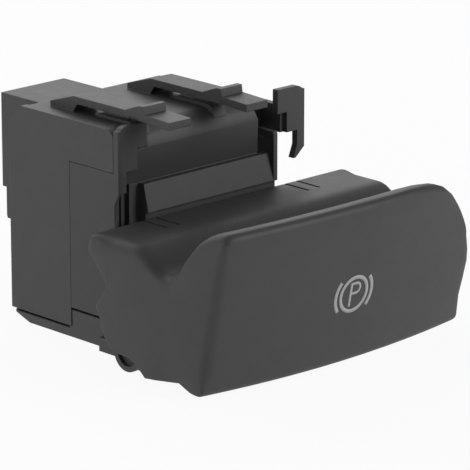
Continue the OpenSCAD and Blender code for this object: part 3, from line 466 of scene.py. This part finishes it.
SIGN_X = 0.0
SIGN_Z = -27.0
SIGN_STEP = 0.2
SIGN_START_Y = -60
RING_RADIUS = 3.25
RING_WIDTH = 0.7
SHOE_RADIUS = 4.5
SHOE_HALF_ANGLE = 39
SHOE_WIDTH = 0.75
STEM_X = -0.86
STEM_HALF_HEIGHT = 2.3
STEM_WIDTH = 0.55
BOWL_LEFT_X = -0.6
BOWL_LINE_END_X = 0.35
BOWL_CENTER = (0.42, 1.1)
BOWL_RADIUS = 0.95
BOWL_WIDTH = 0.5
PRINT_LIFT = 0.05
PRINT_THICKNESS = 0.09
INK_COLOR = (0.43, 0.43, 0.425)
RIBBON_ROWS = (-0.5, 0.0, 0.5)
LEAST_ARC_STEPS = 4
LEAST_LINE_STEPS = 2


def ribbon(points, width, closed):
    """Quads along a flat line, as (corner list, face list)."""
    count = len(points)
    corners = []
    for i, point in enumerate(points):
        before = points[i - 1] if closed or i > 0 else point
        after = points[(i + 1) % count] if closed or i < count - 1 else point
        along = (Vector(after) - Vector(before)).normalized()
        across = Vector((-along.y, along.x))
        corners += [Vector(point) + across * width * row for row in RIBBON_ROWS]
    rows = len(RIBBON_ROWS)
    faces = []
    for i in range(count if closed else count - 1):
        a = i * rows
        b = (i + 1) % count * rows
        faces += [(a + k, b + k, b + k + 1, a + k + 1) for k in range(rows - 1)]
    return corners, faces


def arc_points(radius, start, end, center=(0, 0)):
    steps = max(LEAST_ARC_STEPS, round(radius * math.radians(abs(end - start)) / SIGN_STEP))
    angles = [math.radians(start + (end - start) * i / steps) for i in range(steps + 1)]
    x, y = center
    return [(x + radius * math.cos(a), y + radius * math.sin(a)) for a in angles]


def line_points(first, last):
    steps = max(LEAST_LINE_STEPS, round(math.dist(first, last) / SIGN_STEP))
    (x0, y0), (x1, y1) = first, last
    return [(x0 + (x1 - x0) * i / steps, y0 + (y1 - y0) * i / steps) for i in range(steps + 1)]


def sign_strokes():
    """The strokes as (line, width, closed): ring, letter P and the two brake shoes."""
    top = BOWL_CENTER[1] + BOWL_RADIUS
    low = BOWL_CENTER[1] - BOWL_RADIUS
    bowl = line_points((BOWL_LEFT_X, top), (BOWL_LINE_END_X, top))
    bowl += arc_points(BOWL_RADIUS, 90, -90, BOWL_CENTER)
    bowl += line_points((BOWL_LINE_END_X, low), (BOWL_LEFT_X, low))
    stem = line_points((STEM_X, -STEM_HALF_HEIGHT), (STEM_X, STEM_HALF_HEIGHT))
    return [
        (arc_points(RING_RADIUS, 0, 360)[:-1], RING_WIDTH, True),
        (stem, STEM_WIDTH, False),
        (bowl, BOWL_WIDTH, False),
        (arc_points(SHOE_RADIUS, -SHOE_HALF_ANGLE, SHOE_HALF_ANGLE), SHOE_WIDTH, False),
        (arc_points(SHOE_RADIUS, 180 - SHOE_HALF_ANGLE, 180 + SHOE_HALF_ANGLE), SHOE_WIDTH, False),
    ]


def add_sign():
    """Lays the strokes on the paddle's bowed face."""
    shapes = bpy.context.evaluated_depsgraph_get()
    face_tree = BVHTree.FromObject(frame["nodes"][PADDLE_NODE], shapes)
    places = []
    faces = []
    for line, width, closed in sign_strokes():
        corners, quads = ribbon(line, width, closed)
        faces += [tuple(len(places) + k for k in quad) for quad in quads]
        for corner in corners:
            start = Vector((SIGN_X + corner.x, SIGN_START_Y, SIGN_Z + corner.y)) * MM
            hit = face_tree.ray_cast(start, Vector((0, 1, 0)))[0]
            places.append(hit - Vector((0, PRINT_LIFT * MM, 0)))
    ink = printed_ink("sign_ink", INK_COLOR)
    sign = add_piece("parking_brake_sign", places, faces, ink, "paddle")
    body = sign.modifiers.new("thickness", "SOLIDIFY")
    body.thickness = PRINT_THICKNESS * MM
    body.offset = -1.0 if sign.data.polygons[0].normal.y < 0 else 1.0


# Floor and light, in metres and watts

FLOOR_HALF = 2.0
FLOOR_TONE = 0.8
FLOOR_ROUGHNESS = 0.9
FLOOR_WHITE_SHARE = 0.93
WORLD_LIGHT = 0.2
# Name, place, size and power; each lamp aims at the origin
LAMPS = [
    ("back_lamp", (0.3, 0.8, 0.55), (1.3, 0.8), 7.4),
    ("left_lamp", (-0.9, 0.35, 0.25), (0.7, 0.7), 3.0),
    ("front_lamp", (0.4, -0.8, 0.4), (0.5, 0.5), 4.9),
]


def floor_material():
    """Pale floor that the camera and reflections see as nearly white, with a faint shadow."""
    m = Nodes("floor")
    m.shader.inputs["Base Color"].default_value = (FLOOR_TONE, FLOOR_TONE, FLOOR_TONE, 1)
    m.shader.inputs["Roughness"].default_value = FLOOR_ROUGHNESS
    white = m.add("ShaderNodeEmission", Strength=1.0)
    white.inputs["Color"].default_value = WHITE
    rays = m.add("ShaderNodeLightPath")
    seen = m.add("ShaderNodeMath", operation="MAXIMUM")
    m.link(rays.outputs["Is Camera Ray"], seen.inputs[0])
    m.link(rays.outputs["Is Glossy Ray"], seen.inputs[1])
    share = m.add("ShaderNodeMath", operation="MULTIPLY")
    share.inputs[1].default_value = FLOOR_WHITE_SHARE
    m.link(seen.outputs[0], share.inputs[0])
    mix = m.add("ShaderNodeMixShader")
    m.link(share.outputs[0], mix.inputs["Fac"])
    m.link(m.shader.outputs[0], mix.inputs[1])
    m.link(white.outputs[0], mix.inputs[2])
    m.link(mix.outputs[0], m.tree.nodes["Material Output"].inputs["Surface"])
    return m.material


def add_floor():
    size = FLOOR_HALF
    z = CAD_BOX[0].z
    mesh = bpy.data.meshes.new("floor")
    corners = [(-size, -size, z), (size, -size, z), (size, size, z), (-size, size, z)]
    mesh.from_pydata(corners, [], [(0, 1, 2, 3)])
    mesh.materials.append(floor_material())
    floor = bpy.data.objects.new("floor", mesh)
    bpy.context.scene.collection.objects.link(floor)


def add_world():
    """White to the camera, and a weak light from all sides."""
    world = bpy.data.worlds.new("studio")
    bpy.context.scene.world = world
    world.use_nodes = True
    tree = world.node_tree
    light = tree.nodes["Background"]
    light.inputs["Color"].default_value = WHITE
    light.inputs["Strength"].default_value = WORLD_LIGHT
    seen = tree.nodes.new("ShaderNodeBackground")
    seen.inputs["Color"].default_value = WHITE
    seen.inputs["Strength"].default_value = 1.0
    rays = tree.nodes.new("ShaderNodeLightPath")
    mix = tree.nodes.new("ShaderNodeMixShader")
    tree.links.new(rays.outputs["Is Camera Ray"], mix.inputs["Fac"])
    tree.links.new(light.outputs[0], mix.inputs[1])
    tree.links.new(seen.outputs[0], mix.inputs[2])
    tree.links.new(mix.outputs[0], tree.nodes["World Output"].inputs["Surface"])


def add_lamp(name, place, size, watts):
    data = bpy.data.lights.new(name, "AREA")
    data.shape = "RECTANGLE"
    data.size, data.size_y = size
    data.energy = watts
    lamp = bpy.data.objects.new(name, data)
    lamp.location = place
    lamp.rotation_euler = (-Vector(place)).to_track_quat("-Z", "Y").to_euler()
    bpy.context.scene.collection.objects.link(lamp)


bpy.context.scene.view_settings.view_transform = "Standard"
finish_cad_nodes()
add_pocket_ribs()
add_cheek_rise()
add_sign()
add_camera()
add_floor()
add_world()
for lamp in LAMPS:
    add_lamp(*lamp)
